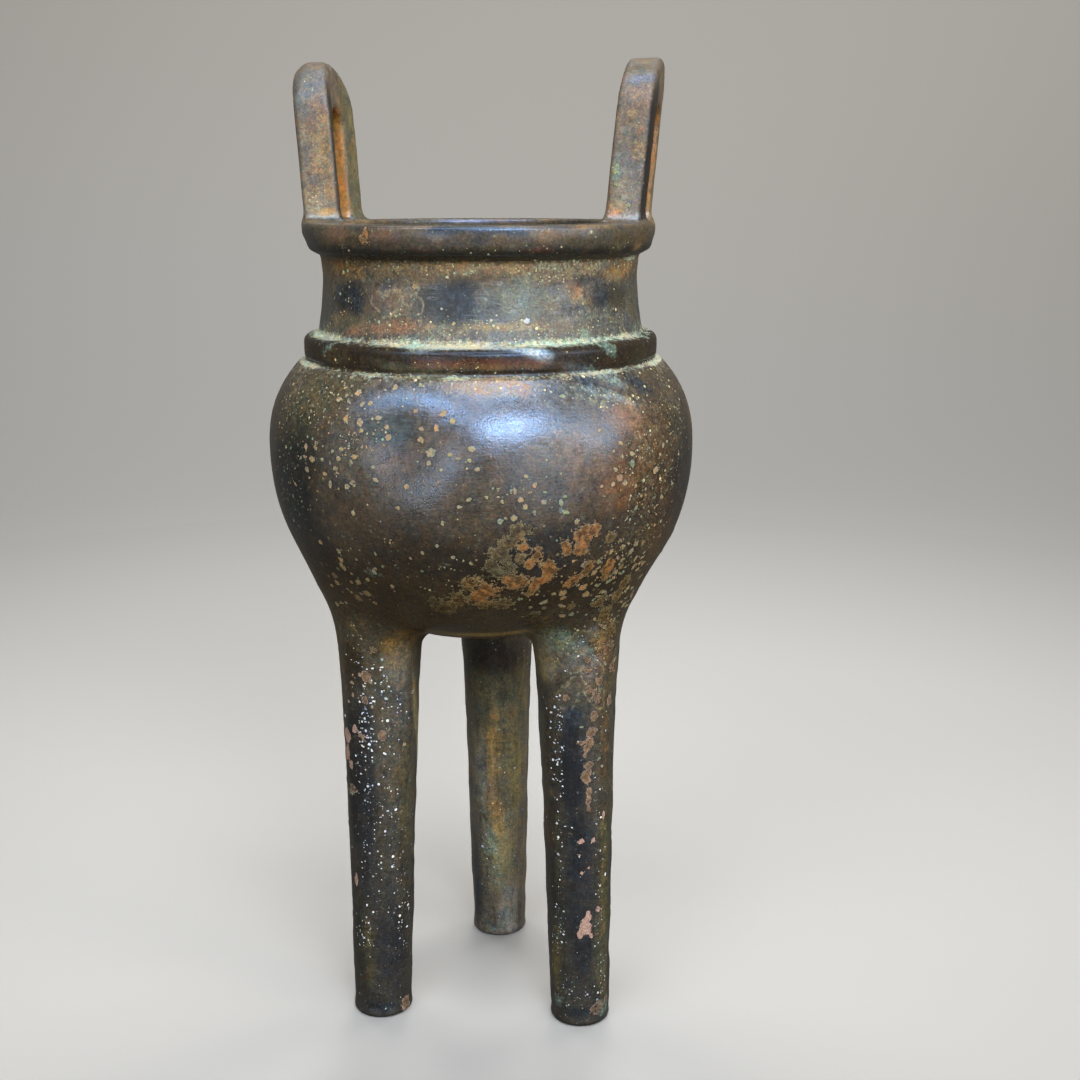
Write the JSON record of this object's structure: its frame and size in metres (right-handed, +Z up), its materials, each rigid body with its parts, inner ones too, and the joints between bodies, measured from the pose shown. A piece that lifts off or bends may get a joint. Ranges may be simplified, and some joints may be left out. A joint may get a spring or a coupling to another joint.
{
  "type": "incense burner",
  "caption": "Tall-legged copper incense burner: round hollow bowl with a banded neck, thick rim, upright pierced ears and straight tapering legs.",
  "frame": {"origin": "under the middle of the bowl, on the plane of the feet", "axes": "+Z up; the ears stand close to the X axis; one leg is at +Y, the rear, and two are at the front"},
  "size_m": [0.0974, 0.0974, 0.2225],
  "materials": {
    "patinated_copper": "dark brown patina with ochre and green corrosion, satin"
  },
  "bodies": {
    "root": {"incense_burner": "patinated_copper"}
  },
  "joints": []
}
